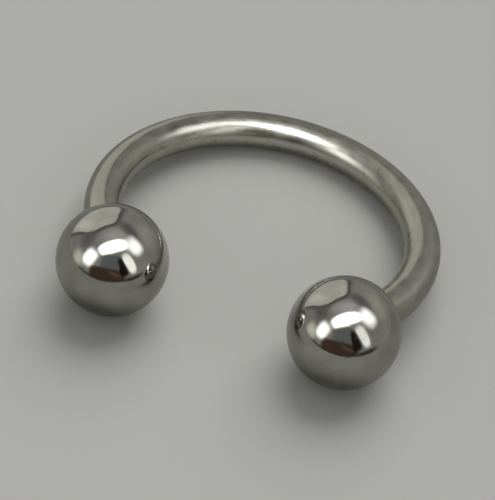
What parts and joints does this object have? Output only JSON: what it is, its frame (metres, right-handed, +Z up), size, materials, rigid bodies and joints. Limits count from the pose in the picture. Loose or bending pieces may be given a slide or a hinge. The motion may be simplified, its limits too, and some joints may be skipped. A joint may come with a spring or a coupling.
{
  "type": "septum ring",
  "caption": "Horseshoe-shaped septum ring of polished round wire, open at the front, with a screw-on ball on each end of the gap.",
  "frame": {"origin": "on the surface that the ring lies on, under the middle of the ring's box", "axes": "+Z up from the surface; the gap between the balls faces -Y; +X to the right, along the wire where it passes through the piercing"},
  "size_m": [0.0156, 0.0154, 0.0048],
  "materials": {
    "wire_steel": "drawn surgical steel wire, tumbled to a soft polish",
    "ball_steel": "turned surgical steel, polished to a mirror"
  },
  "bodies": {
    "bar": {"bar": "wire_steel"},
    "ball_left": {"ball_left": "ball_steel"},
    "ball_right": {"ball_right": "ball_steel"}
  },
  "joints": [
    {"name": "left_ball_unscrews", "type": "slide", "parent": "bar", "child": "ball_left", "axis": [0.4741, -0.8732, 0.1129], "range_m": [0, 0.0033]},
    {"name": "right_ball_unscrews", "type": "slide", "parent": "bar", "child": "ball_right", "axis": [-0.4741, -0.8732, 0.1129], "range_m": [0, 0.0033]}
  ]
}
